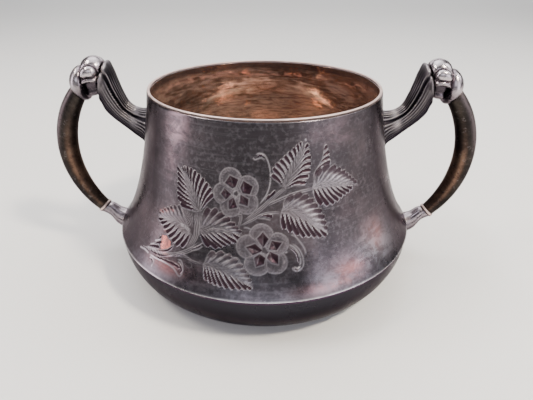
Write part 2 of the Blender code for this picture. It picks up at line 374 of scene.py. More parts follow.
def flower(art, petals, pits, heart):
    """Round petals with frosted borders, a faceted pit in each, and fine rays from the heart."""
    petals = np.array(petals, dtype=float)
    centres, radii = petals[:, :2], petals[:, 2]
    where = art.window(np.vstack([centres - radii.max(), centres + radii.max()]))
    u, v = art.u[where], art.v[where]
    gaps = np.stack([np.hypot(u - c[0], v - c[1]) - r for c, r in zip(centres, radii)])
    order = np.sort(gaps, axis=0)
    nearest, second = order[0], order[1]
    inside = nearest < 0
    far = np.hypot(u - heart[0], v - heart[1])
    turn = np.arctan2(v - heart[1], u - heart[0])
    border = smoothstep(-2.1, -1.2, nearest) * inside
    ripple = 0.5 + 0.5 * np.cos(nearest * 2 * math.pi / 0.42 + 0.8 * np.sin(turn * 31))
    outline = bump(nearest, -0.12, 0.22)
    seam = bump(second - nearest, 0.0, 0.30) * (second < 0)
    groove = bump(second - nearest, 0.5, 0.25) * (second < -0.2) * (far > 1.2)
    rays = np.clip(np.cos(turn * 30) - 0.3, 0, 1) * (1 - smoothstep(1.0, 2.6, far))
    hub = 1 - smoothstep(0.4, 1.0, far)
    depth = 0.05 * ripple * border + 0.10 * groove
    frost = np.maximum(0.34 * inside, border * (0.62 + 0.26 * ripple))
    bright = np.maximum(np.maximum(0.30 * outline, 0.22 * seam), np.maximum(0.7 * rays, 0.8 * hub) * inside)
    dark = 0.30 * groove
    for corners in pits:
        corners = np.array(corners, dtype=float)
        slopes = []
        area = sum(a[0] * b[1] - a[1] * b[0] for a, b in zip(corners, np.roll(corners, -1, axis=0)))
        for a, b in zip(corners, np.roll(corners, -1, axis=0)):
            d = (b - a) / np.linalg.norm(b - a)
            slopes.append(math.copysign(1, area) * (d[0] * (v - a[1]) - d[1] * (u - a[0])))
        drop = np.min(slopes, axis=0)
        fold = corners[2] - corners[0]
        aside = (fold[0] * (v - corners[0][1]) - fold[1] * (u - corners[0][0])) / np.linalg.norm(fold)
        # The pits are dark with oxide; one facet of each is painted a little darker than the other, and the
        # fold between them lighter, as painted shade and painted highlight.
        crease = bump(aside, 0.0, 0.16) * smoothstep(0.1, 0.4, drop)
        pit = smoothstep(-0.24, 0.02, drop)
        lip = bump(drop, -0.36, 0.18) * (drop < -0.1)
        depth = np.maximum(depth, np.clip(0.75 * drop, 0, 0.9))
        dark = np.maximum(dark * (1 - pit), pit * np.where(aside > 0, 1.0, 0.84) * (1 - 0.45 * crease))
        bright = np.maximum(bright, 0.32 * lip) * (1 - pit) + 0.16 * crease * pit
        frost = frost * (1 - pit)
    bright = bright * (nearest < 0.25)
    art.lay(where, depth=depth * inside, dark=dark * inside, bright=bright, frost=frost * inside)
    art.taken[where] |= nearest < 0.2


# The spray on (u, v) in mm.  Each half leaf is cut from its rib out to its edge, base to tip.
CRISP = dict(fill=0.84, burr=(0.75, 0.5))
SHADED = dict(fill=0.9, burr=(0.25, 0.45), depth=0.28, dark=0.80, dark_from=0.52)

LEAVES = (
    dict(base=(-22.6, 29.9), tip=(-34.2, 44.4), ground=0.36, halves=(
        dict(CRISP, cuts=8, bow=0.04, burr=(0.55, 1.0),
             edge=((-30.2, 29.6), (-32.9, 32.6), (-33.6, 35.6), (-33.6, 38.4), (-34.0, 41.2), (-34.4, 43.9)),
             rib=((-24.4, 29.4), (-26.6, 32.0), (-28.0, 34.9), (-29.8, 38.4), (-32.3, 42.7))),
        dict(CRISP, cuts=10, bow=0.05, fill=0.8, burr=(0.85, 0.6),
             edge=((-16.8, 36.4), (-19.4, 39.5), (-22.8, 42.3), (-26.6, 44.0), (-30.2, 44.5), (-32.2, 43.7)),
             rib=((-21.8, 30.4), (-22.4, 32.8), (-24.5, 35.4), (-26.7, 38.2), (-28.8, 41.4),
                  (-31.2, 42.9))))),
    dict(base=(8.6, 41.0), tip=(16.6, 56.2), ground=0.36, halves=(
        dict(CRISP, cuts=9, bow=-0.05, burr=(0.6, 0.9), gleam=0.6, gleam_at=0.5,
             edge=((4.0, 43.9), (4.9, 47.8), (7.4, 50.1), (10.3, 52.3), (13.2, 54.4), (15.2, 55.8)),
             rib=((7.2, 41.4), (8.3, 43.8), (10.1, 46.6), (11.9, 49.2), (13.6, 51.8), (15.4, 54.6))),
        dict(CRISP, cuts=7, bow=0.12, fill=0.66, burr=(0.85, 0.7),
             edge=((15.6, 40.6), (17.3, 43.6), (18.3, 46.6), (18.6, 49.6), (18.0, 52.6), (17.4, 55.6)),
             rib=((9.4, 40.3), (11.0, 42.2), (13.5, 45.0), (14.7, 48.0), (16.0, 51.2), (16.9, 54.4))))),
    dict(base=(18.9, 39.6), tip=(40.6, 35.7), ground=0.60, halves=(
        dict(SHADED, cuts=9, bow=0.10, gleam=1.0, gleam_at=0.55,
             edge=((20.6, 44.2), (24.6, 46.7), (28.4, 45.6), (31.0, 44.1), (33.4, 42.6), (35.2, 41.0),
                   (36.9, 39.6),
                   (38.4, 38.2), (39.8, 36.8)),
             rib=((19.6, 40.6), (21.2, 41.4), (22.8, 41.6), (24.9, 41.2), (27.3, 40.8), (29.9, 40.2),
                  (32.3, 39.4),
                  (34.6, 38.4), (36.6, 37.5))),
        dict(CRISP, cuts=8, bow=-0.05, burr=(0.9, 0.55),
             edge=((20.9, 33.9), (25.2, 32.6), (28.9, 33.1), (31.9, 34.4), (34.8, 35.1), (37.4, 36.4)),
             rib=((19.0, 39.0), (21.4, 38.8), (24.2, 38.8), (27.3, 38.4), (31.0, 37.9), (35.4, 36.8))))),
    dict(base=(7.2, 32.2), tip=(24.2, 21.7), ground=0.55, halves=(
        dict(SHADED, cuts=9, bow=0.08, gleam=1.0, gleam_at=0.62,
             edge=((9.4, 36.4), (13.0, 38.2), (15.8, 37.5), (18.0, 36.0), (19.8, 34.0), (21.2, 31.9),
                   (22.4, 29.6),
                   (23.1, 27.2), (23.5, 24.9), (23.8, 23.2)),
             rib=((7.8, 33.4), (8.8, 34.2), (10.2, 34.2), (12.0, 33.8), (13.8, 32.8), (15.4, 31.4),
                  (17.0, 29.8),
                  (18.8, 27.9), (20.6, 26.0), (22.4, 24.2))),
        dict(CRISP, cuts=8, bow=-0.04, burr=(0.9, 0.6),
             edge=((7.2, 27.0), (10.7, 25.1), (14.4, 23.0), (17.6, 22.5), (20.9, 21.7), (24.2, 21.7)),
             rib=((7.0, 31.4), (9.2, 31.4), (11.6, 29.8), (14.2, 29.6), (18.0, 26.4), (22.6, 23.2))))),
    dict(base=(-22.0, 23.8), tip=(-5.8, 22.6), ground=0.36, veins=(
        (((-19.8, 23.6), (-16.5, 24.7), (-13.0, 24.9), (-9.6, 24.1)),
         ((-19.9, 23.2), (-16.5, 24.1), (-13.0, 24.3), (-9.8, 23.8)), 2, 0.55, 0.4),), halves=(
        dict(SHADED, cuts=7, bow=0.06, fill=0.85, dark_from=0.5, gleam=0.6, gleam_at=0.75, dark=0.8,
             edge=((-20.6, 30.6), (-17.6, 31.8), (-14.6, 31.2), (-12.2, 29.9), (-10.0, 28.2), (-8.4, 26.8),
                   (-7.2, 25.6), (-6.4, 24.4)),
             rib=((-21.6, 25.0), (-20.6, 25.4), (-19.0, 25.6), (-17.2, 25.9), (-15.2, 26.0), (-13.2, 25.6),
                  (-11.2, 25.0), (-9.2, 24.4))),
        dict(CRISP, cuts=7, bow=-0.03, burr=(1.0, 0.7),
             edge=((-19.4, 18.5), (-14.5, 18.1), (-11.9, 19.5), (-9.0, 21.0), (-5.4, 22.3)),
             rib=((-22.0, 21.6), (-19.7, 21.8), (-17.6, 23.0), (-14.0, 23.8), (-8.0, 24.3))))),
    dict(base=(-19.2, 11.2), tip=(-1.8, 5.6), ground=0.48, halves=(
        dict(SHADED, cuts=8, bow=0.06, gleam=1.0, gleam_at=0.35, dark=0.6,
             edge=((-17.4, 15.2), (-14.2, 16.5), (-11.4, 16.2), (-8.9, 15.2), (-6.8, 13.8), (-5.2, 12.0),
                   (-4.1, 10.2),
                   (-3.3, 8.6), (-2.6, 7.2)),
             rib=((-18.6, 11.8), (-17.3, 12.4), (-15.4, 12.6), (-13.2, 12.2), (-11.0, 11.4), (-9.0, 10.5),
                  (-7.2, 9.4), (-5.6, 8.3), (-4.0, 7.0))),
        dict(CRISP, cuts=9, bow=-0.03, fill=0.82, burr=(1.0, 0.8),
             edge=((-18.0, 6.4), (-14.4, 5.2), (-10.3, 4.7), (-5.6, 4.8), (-2.0, 5.0)),
             rib=((-18.9, 10.2), (-16.6, 10.6), (-13.7, 10.2), (-9.3, 9.0), (-4.4, 6.3))))),
    dict(base=(-25.3, 21.0), tip=(-42.6, 22.0), ground=0.42, veins=(
        (((-30.8, 23.4), (-28.4, 23.2), (-25.4, 22.0)), ((-30.4, 22.6), (-28.0, 22.2),
          (-25.8, 21.0)), 4, 0.7, 0.2),
        (((-31.0, 28.6), (-28.6, 26.4), (-26.9, 23.4)), ((-26.0, 28.6), (-25.4, 26.0),
          (-25.3, 23.0)), 6, 0.45, 0.6)),
        halves=(
        dict(CRISP, cuts=8, bow=0.05, burr=(0.55, 0.8),
             edge=((-27.2, 15.4), (-31.0, 15.0), (-34.2, 16.3), (-37.0, 18.1), (-39.8, 19.9), (-42.2, 21.5)),
             rib=((-25.2, 20.3), (-28.0, 20.3), (-30.6, 21.2), (-33.4, 22.0), (-36.8, 22.0), (-40.4, 22.0))),
        dict(SHADED, cuts=7, bow=-0.08, fill=0.8, gleam=0.3, gleam_at=0.5, dark=0.7, dark_from=0.7,
             edge=((-31.2, 29.6), (-33.6, 28.9), (-35.9, 27.9), (-37.8, 26.8), (-39.6, 25.6),
                   (-41.2, 24.3), (-42.4, 22.6)),
             rib=((-28.6, 25.6), (-31.0, 25.8), (-33.4, 25.4), (-35.6, 24.8), (-37.6, 24.0),
                  (-39.4, 23.2), (-40.9, 22.4))))),
    dict(base=(20.6, 45.4), tip=(24.6, 54.6), ground=0.4, halves=(
        dict(CRISP, cuts=4, bow=0.04, burr=(0.6, 0.5), dark=0.9,
             edge=((27.0, 46.8), (26.3, 49.0), (26.1, 51.4), (25.0, 54.0)),
             rib=((21.7, 45.6), (22.9, 47.9), (23.9, 50.2), (24.5, 53.2))),)),
)

# Lines of a stem come in pairs that its two sides follow: first side, last side, how many lines.
STEMS = (
    (((-48.3, 5.9), (-43.0, 7.6), (-36.0, 8.8), (-30.0, 10.9), (-24.6, 14.2), (-20.3, 18.0)),
     ((-48.2, 6.4), (-43.0, 8.3), (-36.6, 9.6), (-30.6, 11.8), (-25.4, 15.2), (-21.2, 19.2)), 3, 0.6),
    (((-31.0, 10.4), (-26.5, 11.6), (-22.6, 10.8), (-19.0, 11.2)),
     ((-31.4, 10.9), (-26.8, 12.2), (-22.8, 11.4), (-19.2, 11.6)), 2, 0.5),
    (((-24.9, 28.6), (-24.0, 25.0), (-24.2, 20.5), (-26.0, 15.4)),
     ((-21.9, 29.6), (-22.2, 25.0), (-22.4, 20.5), (-24.3, 16.0)), 5, 0.5),
    (((-7.4, 26.9), (-3.4, 29.4), (1.2, 31.9), (7.0, 32.3)),
     ((-6.6, 27.2), (-3.0, 29.0), (1.4, 31.4), (7.1, 31.8)), 2, 0.55),
    (((-6.0, 28.9), (-1.0, 33.2), (3.6, 37.2), (8.6, 41.0)),
     ((-5.2, 28.7), (0.0, 32.6), (4.2, 36.4), (9.4, 40.4)), 3, 0.5),
    (((1.4, 34.6), (6.6, 36.9), (12.4, 38.8), (19.2, 39.6)),
     ((2.2, 34.4), (7.2, 36.4), (12.8, 38.2), (19.4, 39.1)), 2, 0.55),
    (((-8.4, 30.6), (-7.0, 31.2), (-6.6, 29.6), (-7.4, 26.4)),
     ((-8.0, 30.2), (-7.4, 30.6), (-7.2, 29.4), (-7.9, 26.4)), 2, 0.45),
)

# Single cuts: points from the sharp end, half width, and whether the cut swells in its middle.
CUTS = (
    (((1.6, 36.3), (3.2, 37.6), (5.1, 39.5)), 0.52, False),
    (((1.9, 36.7), (2.3, 37.4), (2.9, 38.2)), 0.32, False),
    (((0.4, 30.9), (2.2, 31.0), (3.9, 30.7)), 0.72, False),
    (((-43.6, 9.1), (-40.8, 10.2), (-38.6, 10.8)), 0.64, False),
    (((-41.3, 11.0), (-39.4, 12.2), (-37.9, 13.2)), 0.60, False),
    (((-39.6, 13.6), (-39.1, 14.4), (-38.6, 15.0)), 0.48, False),
    (((-47.6, 6.8), (-45.4, 7.1), (-43.4, 7.2)), 0.18, True),
    (((-40.4, 6.6), (-35.0, 7.3), (-31.0, 7.6), (-27.8, 7.2)), 0.66, False),
    (((-27.9, 8.4), (-26.7, 7.0), (-26.6, 5.2)), 0.34, True),
    (((-39.6, 9.1), (-36.2, 10.2), (-33.6, 11.9), (-31.8, 14.3)), 0.36, True),
    (((-42.0, 7.7), (-38.0, 8.1), (-35.2, 8.9), (-31.6, 10.7)), 0.32, True),
    (((-41.4, 4.8), (-39.8, 4.8), (-38.7, 2.9)), 0.22, True),
    (((-24.2, 15.4), (-22.0, 16.6), (-20.2, 18.6)), 0.24, True),
    (((-30.4, 10.7), (-28.6, 12.0), (-26.6, 12.8)), 0.16, True),
    (((-4.0, 24.7), (-2.4, 23.2), (-1.1, 21.6)), 0.26, True),
    (((-1.2, 51.2), (-0.1, 51.8), (1.0, 51.2)), 0.30, True),
    (((10.6, 12.6), (12.0, 11.0), (13.4, 12.2)), 0.16, True),
    (((9.6, 19.6), (12.0, 17.2), (12.7, 13.6)), 0.22, True),
)

# Fine bright lines: points, half width, brightness.
LINES = (
    (((-1.9, 52.0), (-0.3, 52.5), (1.4, 51.8), (2.7, 49.4), (3.5, 45.8), (3.2, 41.6), (1.8, 38.0),
      (-0.6, 34.8)), 0.20, 0.85),
    (((-2.9, 51.0), (-2.2, 50.3), (-1.2, 50.6), (0.2, 50.9), (1.4, 50.3)), 0.20, 0.75),
    (((9.6, 20.5), (11.6, 19.0), (13.0, 16.4), (13.3, 13.6), (12.8, 12.8)), 0.22, 0.85),
    (((10.6, 20.8), (12.9, 18.6), (14.2, 15.2), (14.0, 12.2), (12.3, 10.6), (10.7, 11.2),
      (10.4, 12.2)), 0.20, 0.75),
    (((11.0, 12.2), (12.0, 11.7), (13.0, 12.2)), 0.30, 0.9),
    (((10.4, 23.9), (12.0, 23.0), (13.6, 20.8), (15.0, 18.2), (15.2, 15.8)), 0.20, 0.6),
    (((-48.6, 5.8), (-45.2, 6.5), (-42.6, 6.2)), 0.26, 0.95),
    (((-42.0, 6.2), (-39.0, 6.3), (-35.0, 6.7), (-30.0, 6.3), (-27.0, 4.3), (-26.1, 5.2), (-26.0, 7.6),
      (-27.4, 9.9), (-29.0, 9.8)), 0.24, 0.95),
    (((-28.8, 9.1), (-27.6, 8.9), (-26.8, 7.6)), 0.22, 0.8),
    (((-44.6, 8.2), (-41.2, 8.9), (-38.0, 9.4), (-34.4, 10.8)), 0.18, 0.7),
    (((-43.4, 9.7), (-40.8, 11.3), (-38.6, 11.9)), 0.20, 0.85),
    (((-41.4, 12.2), (-39.6, 13.2), (-38.4, 14.2)), 0.20, 0.75),
    (((-46.8, 6.9), (-42.0, 8.6), (-38.6, 9.9)), 0.16, 0.6),
    (((-41.4, 5.4), (-39.8, 5.3), (-39.1, 4.2), (-38.9, 2.3)), 0.26, 0.9),
    (((-26.2, 9.6), (-24.6, 8.4), (-23.2, 8.8), (-23.4, 10.2), (-24.8, 10.4)), 0.16, 0.35),
    (((-24.4, 14.8), (-22.0, 15.8), (-20.0, 17.6)), 0.22, 0.8),
    (((-12.0, 16.9), (-10.4, 15.8), (-8.4, 15.5), (-7.2, 15.3), (-6.4, 13.6), (-5.6, 13.0)), 0.18, 0.55),
    (((-5.8, 26.5), (-4.4, 26.5), (-2.8, 25.9)), 0.20, 0.7),
    (((3.2, 18.4), (6.0, 18.1), (9.2, 17.7)), 0.30, 1.0),
    (((-2.0, 30.2), (0.8, 30.0), (3.6, 29.4)), 0.18, 0.6),
    (((16.6, 56.7), (16.7, 56.1), (16.8, 55.5)), 0.30, 0.9),
)

FLOWERS = (
    dict(heart=(1.7, 18.3), petals=((0.3, 24.0, 4.2), (5.6, 20.9, 4.0), (4.9, 14.3, 4.1), (-0.9, 13.9, 4.3),
                                    (-3.8, 19.8, 4.4)),
         pits=(((0.8, 25.0), (-1.0, 22.8), (0.9, 19.9), (2.6, 22.7)),
               ((3.9, 21.9), (3.0, 19.1), (5.4, 18.8), (7.0, 21.2)),
               ((3.2, 18.1), (2.3, 16.0), (3.8, 14.4), (5.7, 13.9), (5.8, 16.7)),
               ((-0.2, 17.2), (-1.8, 16.0), (-1.2, 13.0), (1.1, 13.9), (1.5, 16.0)),
               ((-4.6, 19.6), (-2.5, 17.0), (-0.4, 18.0), (0.5, 18.7), (-1.8, 20.8)))),
    dict(heart=(-9.2, 38.7), petals=((-11.1, 42.9, 4.3), (-4.8, 40.8, 4.0), (-5.0, 35.4, 4.1),
    (-10.7, 33.9, 4.0),
                                     (-13.7, 37.8, 3.9)),
         pits=(((-11.3, 44.2), (-12.9, 41.7), (-10.2, 40.2), (-9.2, 40.9), (-8.4, 43.2)),
               ((-6.2, 42.8), (-7.2, 40.6), (-6.4, 38.8), (-4.0, 38.6), (-3.1, 41.1)),
               ((-13.2, 39.6), (-14.4, 37.7), (-12.6, 36.1), (-10.9, 37.9)),
               ((-9.8, 36.7), (-11.4, 35.5), (-11.2, 32.8), (-8.5, 33.6)),
               ((-7.1, 37.8), (-7.4, 35.1), (-4.7, 34.4), (-4.5, 36.6)))),
)


def engrave(u, v):
    """The whole spray on a grid of (u, v)."""
    art = Engraving(u, v)
    for spec in FLOWERS:
        flower(art, **spec)
    for spec in LEAVES:
        leaf(art, **spec)
    for first, last, count, bright in STEMS:
        art.strands(first, last, count, bright, 0.45, (0.15, 0.13))
        where, gap, _, _ = art.near(between(first, last, 0.5))
        width = np.linalg.norm(np.subtract(first, last), axis=1).mean() / 2
        art.lay(where, frost=0.14 * (1 - smoothstep(width, width + 0.3, gap)))
    for points, width, swell in CUTS:
        art.cut(points, width, 0.35, 1.0, (0.5, 0.3), swell=swell)
    for points, width, bright in LINES:
        art.scratch(points, width, bright, fade=0.08)
    return art


# ------------------------------------------------------------------ the bowl's meshes

SPRAY_EDGES = (-51.0, 45.0)
SPRAY_STEP, COARSE_STEP = 0.30, 0.60  # between the wall's points at the spray, and its rows above it
FIRST_ROW, LAST_FINE_ROW, FIRST_COARSE_ROW = 0.25, 59.6, 60.0  # lengths above the shoulder
PLAIN_STEP = math.radians(3.0)
LINING_CLOSE = np.array([0.9, 0.98, 1.15, 1.5, 2.2])  # rows that round off the ends of the lining
LINING_FROM = 4.2  # distance of its even rows from both ends
FOOT_ROWS = ((-0.12, -0.02), (-0.05, 0.07))  # rows that carry the wall onto the shoulder's edge
BRIGHT_EDGE_REACH = 0.45  # the shoulder's edge is painted bright, as wear and as a painted highlight, up to about here


def wall_angles():
    """Angles round the wall, close together where the spray is."""
    low, high = (edge / AZIMUTH_RADIUS for edge in SPRAY_EDGES)
    fine = np.linspace(low, high, int((high - low) * AZIMUTH_RADIUS / SPRAY_STEP) + 1)
    rest = 2 * math.pi - (high - low)
    plain = high + np.linspace(0, rest, int(rest / PLAIN_STEP) + 1)[1:-1]
    return np.concatenate([fine, plain])


def patches(u, v, spots):
    """Soft round patches on the wall: (u, v, radius along u, radius along v, strength)."""
    total = np.zeros_like(u)
    for u0, v0, ru, rv, strength in spots:
        total = np.maximum(total, strength * np.exp(-(((u - u0) / ru) ** 2 + ((v - v0) / rv) ** 2)))
    return total


# The bare copper patch beside the lowest leaf, as an outline on (u, v).
COPPER_PATCH = ((-38.0, 12.0), (-38.2, 15.8), (-36.0, 16.3), (-33.5, 15.0), (-33.2, 13.3), (-34.5, 11.8),
                (-37.0, 10.6))

# Tone of the plate and light painted on it, each as soft patches: (u, v, radius along u, radius along v,
# strength).
TONE_AND_PAINTED_LIGHT = {
    "copper": (
        (-35.3, 9.7, 2.2, 0.7, 0.7), (-36.2, 18.2, 1.1, 0.5, 1.0), (-40.6, 24.4, 1.0, 0.5, 0.7),
        (-38.4, 25.6, 1.2, 0.5, 0.7), (-35.4, 26.8, 1.2, 0.5, 0.6), (-33.0, 5.5, 6.5, 2.4, 0.34),
        (31.0, 7.0, 6.0, 2.6, 0.30), (24.0, 3.6, 9.0, 1.6, 0.28), (45.5, 13.5, 3.6, 5.0, 0.30),
    ),
    # Pink patches: partly the plate's pink tone and partly painted highlights where the wall should catch
    # light.
    "blush_and_highlight": (
        (-35.5, 58.0, 5.5, 7.0, 0.55), (-38.0, 46.0, 4.0, 8.0, 0.18), (30.0, 57.0, 10.0, 4.0, 0.16),
        (34.0, 8.5, 10.0, 4.5, 0.34), (18.0, 2.5, 6.0, 1.6, 0.35), (-36.0, 18.0, 10.0, 8.0, 0.12),
        (43.0, 14.0, 6.0, 6.0, 0.46), (-30.0, 4.5, 3.5, 2.2, 0.22), (-24.0, 6.0, 9.0, 4.5, 0.30),
        (36.0, 30.0, 9.0, 13.0, 0.05),
    ),
    # Painted highlights and painted reflections: light patches where the wall should mirror bright
    # surroundings.
    "painted_highlight": (
        (-28.0, 2.2, 17.0, 2.6, 0.26), (0.0, 2.0, 22.0, 2.4, 0.14), (24.0, 5.0, 9.0, 4.5, 0.29),
        (-8.0, 10.0, 10.0, 6.0, 0.20), (50.0, 10.0, 6.0, 6.0, 0.25),
        (43.0, 8.5, 8.0, 6.5, 0.85),
    ),
    # Painted shade and painted dark reflections: darker patches at the wall's edges, top and right side.
    "shade": (
        (-10.0, 57.0, 17.0, 10.0, 0.10), (-49.0, 42.0, 6.5, 34.0, 1.0), (-62.0, 34.0, 12.0, 60.0, 0.85),
        (52.0, 44.0, 7.0, 40.0, 0.45), (33.0, 44.0, 15.0, 18.0, 0.52), (66.0, 30.0, 12.0, 60.0, 0.80),
        (-47.0, 12.0, 5.0, 12.0, 0.55),
        (52.0, 16.0, 3.0, 10.0, 0.10),
    ),
}


def make_wall(finish, lining):
    """Wall with the spray cut into it; the outside is fine, the lining coarse."""
    angles = wall_angles()
    rows_v = np.concatenate([np.arange(FIRST_ROW, LAST_FINE_ROW, SPRAY_STEP),
                             np.arange(FIRST_COARSE_ROW, WALL_LENGTH - COARSE_STEP, COARSE_STEP)])
    u, v = np.meshgrid(angles * AZIMUTH_RADIUS, rows_v)
    u = np.where(u > math.pi * AZIMUTH_RADIUS, u - 2 * math.pi * AZIMUTH_RADIUS, u)
    inside = (u[0] > SPRAY_EDGES[0] - 0.1) & (u[0] < SPRAY_EDGES[1] + 0.1)
    art = engrave(u[:, inside], v[:, inside])
    marks = {}
    for key in ("depth", "dark", "bright", "frost"):
        marks[key] = np.zeros_like(u)
        marks[key][:, inside] = getattr(art, key)
    lift = 0.05 * marks["bright"] - marks.pop("depth")
    for key, spots in TONE_AND_PAINTED_LIGHT.items():
        marks[key] = patches(u, v, spots)
    marks["copper"] = np.maximum(marks["copper"], inside_outline(u, v, COPPER_PATCH))
    # The shoulder's edge is painted bright: wear on the edge and a painted highlight along it.
    marks["worn_and_highlight"] = bump(v, 0.0, BRIGHT_EDGE_REACH)
    foot = turned(np.array([SHOULDER_RADIUS, SHOULDER_HEIGHT]) + FOOT_ROWS, angles)
    point, normal = wall_at(rows_v)
    outside = turned(point, angles) + turned(normal, angles) * lift[..., None]
    # The lining runs back down, and both ends are closed by the rows between.
    even = np.linspace(WALL_LENGTH - LINING_FROM, LINING_FROM, 19)
    lining_v = np.concatenate([WALL_LENGTH - LINING_CLOSE, even, LINING_CLOSE[::-1]])
    point, normal = wall_at(lining_v)
    inner = turned(point - normal * WALL_THICKNESS, angles)
    points = np.vstack([foot, outside, inner])
    values = {}
    for key, grid in marks.items():
        # The foot rows take the full bright edge: wear and a painted highlight.
        at_foot = np.full(foot.shape[:2], float(key == "worn_and_highlight"))
        values[key] = np.vstack([at_foot, grid, np.zeros(inner.shape[:2])])
    lining_rows = range(len(points) - len(inner) - 1, len(points) - 1)
    mesh = surface("body_wall_plate", points, True, values, lining_rows)
    add_piece("wall", mesh, [finish, lining], "body_wall")


def dish_outline(inset):
    """Quarter-ellipse side of the dish, from its edge, and its flat base, inset into the plate."""
    steps = np.linspace(0, math.pi / 2, 40)
    flat = np.linspace(BASE_RADIUS - 3, 3, 12)
    radius = BASE_RADIUS + (DISH_EDGE - inset - BASE_RADIUS) * np.cos(steps)
    height = inset + (DISH_TOP - inset) * (1 - np.sin(steps))
    return np.stack([np.append(radius, flat), np.append(height, np.full(len(flat), inset))], axis=-1)


def make_dish(finish, lining):
    """Lower dish, from the middle of its lining over the edge to the middle of its base."""
    angles = np.linspace(0, 2 * math.pi, 192, endpoint=False)
    inside = dish_outline(DISH_THICKNESS)[::-1]
    points = turned(np.vstack([inside, dish_outline(0.0)]), angles)
    mesh = surface("body_dish_plate", points, inner_rows=range(len(inside) - 1))
    add_piece("dish", mesh, [finish, lining], "body_dish")


RIM_HALVES = (0.54, 0.37)  # half width and half height of the lip wire


def make_rim(finish):
    """Thin lip wire, bright along its crest; its outer side and its underside are painted dark, as painted
    shade, as dark as the wall below it.
    """
    angles = np.linspace(0, 2 * math.pi, 256, endpoint=False)
    turn = np.linspace(0, 2 * math.pi, 24, endpoint=False)
    wave = np.stack([np.cos(turn), np.sin(turn)], axis=-1)
    shape = np.sign(wave) * np.abs(wave) ** 0.8 * RIM_HALVES
    outline = shape + (RIM_RADIUS - LIP_SET_BACK - WALL_THICKNESS / 2, RIM_HEIGHT - RIM_HALVES[1])
    # Painted shade: the outer side below the crest and the underside are painted dark.
    outer = smoothstep(-0.3, 0.2, np.cos(turn)) * (1 - smoothstep(0.15, 0.60, np.sin(turn)))
    under = 1 - smoothstep(-0.80, -0.55, np.sin(turn))
    flank = np.outer(np.maximum(outer, under), np.ones(len(angles)))
    mesh = surface("rim_wire_silver", turned(outline, angles), True, {"dark": flank})
    add_piece("rim", mesh, [finish], "rim_wire")


# ------------------------------------------------------------------ the handles

BOW_CENTRE = (47.0, 50.3)
BOW_RADIUS = 41.3
BOW_HEAD, BOW_FOOT, HEAD_TILT = 40.3, -42.0, 12.0  # degrees
BOW_HALVES = (3.7, 5.3, 3.1)  # half thickness: head, control value between, foot
FERRULE_LENGTH = 1.0
ROOTED = 0.65  # how far a handle's end reaches into the plate


def wall_radius(height):
    """Outer radius of the wall at a height."""
    return np.interp(height, WALL[:, 1], WALL[:, 0])


def dish_radius(height):
    """Outer radius of the lower dish at a height."""
    share = 1 - height / DISH_TOP
    return BASE_RADIUS + (DISH_EDGE - BASE_RADIUS) * math.sqrt(1 - share ** 2)


# Sections of the cast pieces: lower end (x, z), upper end (x, z), half width across the handle.
COLLAR_SECTIONS = (
    (76.6, 74.7, 81.2, 80.5, 4.1), (76.0, 74.3, 80.4, 83.1, 5.2), (75.2, 74.2, 79.0, 85.5, 6.0),
    (74.3, 74.4, 77.2, 87.3, 6.2), (73.5, 74.8, 75.2, 88.4, 5.9),
)
KNUCKLE_SECTIONS = (
    (73.56, 75.3, 75.16, 88.1, 5.9), (72.6, 75.1, 73.6, 90.0, 6.8), (71.7, 75.2, 71.6, 91.1, 7.2),
    (70.8, 75.4, 69.6, 91.4, 7.3), (69.9, 75.7, 67.6, 90.8, 7.1), (69.1, 76.0, 66.0, 89.6, 6.5),
)
ARM_SECTIONS = (
    (69.06, 76.2, 66.03, 89.5, 6.4), (68.9, 74.0, 64.2, 89.0, 6.8), (68.5, 71.8, 62.7, 86.3, 6.6),
    (67.6, 69.5, 61.5, 81.6, 6.2), (65.2, 66.6, 60.1, 77.0, 5.7), (62.2, 63.9, 58.3, 72.9, 5.2),
    (59.3, 61.4, 56.0, 70.8, 5.0), (56.2, 58.7, 53.9, 70.0, 5.4), (52.6, 55.6, 51.6, 69.9, 6.3),
    (wall_radius(52.0) - ROOTED, 52.0, wall_radius(70.3) - ROOTED, 70.3, 7.2),
)
ARM_RUBBED_HIGHLIGHTS = ((0.08, 0.07, 0.7), (0.74, 0.07, 0.8))  # the ribs' round heads, and the bend beside the wall: painted highlights that also stand for wear
SOCKET_SECTIONS = (
    (74.9, 17.1, 72.9, 23.2, 3.3), (71.8, 12.7, 70.0, 20.9, 4.0), (67.6, 10.4, 67.4, 19.9, 4.7),
    (dish_radius(9.2) - ROOTED, 9.2, dish_radius(19.9) - ROOTED, 19.9, 5.2),
)


def bow_sections(angles, halves, tilts=0.0):
    """Sections square to the bow's arc, or tilted from square; the angles are an array of degrees."""
    turn = np.radians(angles)
    lean = np.radians(angles + tilts)
    middle = BOW_CENTRE + BOW_RADIUS * np.stack([np.cos(turn), np.sin(turn)], -1)
    out = np.stack([np.cos(lean), np.sin(lean)], -1) * halves[:, None]
    return np.hstack([middle - out, middle + out, halves[:, None] * 0.96])


def loft_grid(rows, around):
    """Share of the way along a loft, as a column, and the angle round it, as a row."""
    return np.linspace(0, 1, rows)[:, None], np.linspace(0, 2 * math.pi, around, endpoint=False)[None, :]


def loft(sections, around, offset=None):
    """Grid of points round lofted sections; offset(t, turn) stands out from the oval, in mm."""
    t, turn = loft_grid(len(sections), around)
    foot, top, across = sections[:, 0:2], sections[:, 2:4], sections[:, 4:5]
    middle = (foot + top) / 2
    half = (top - foot) / 2
    size = np.linalg.norm(half, axis=1, keepdims=True)
    out = half / size
    up, side = np.cos(turn), np.sin(turn)
    normal_up, normal_side = up / size, side / across
    rise = 0.0 if offset is None else offset(t, turn) / np.hypot(normal_up, normal_side)
    reach_up = size * up + rise * normal_up
    reach_side = across * side + rise * normal_side
    x, z = (middle[:, [k]] + out[:, [k]] * reach_up for k in (0, 1))
    return np.stack([x, reach_side, z], axis=-1)


def folded(turn):
    """Degrees from the top of a section, the same on both flanks."""
    return np.degrees(np.abs(np.arctan2(np.sin(turn), np.cos(turn))))


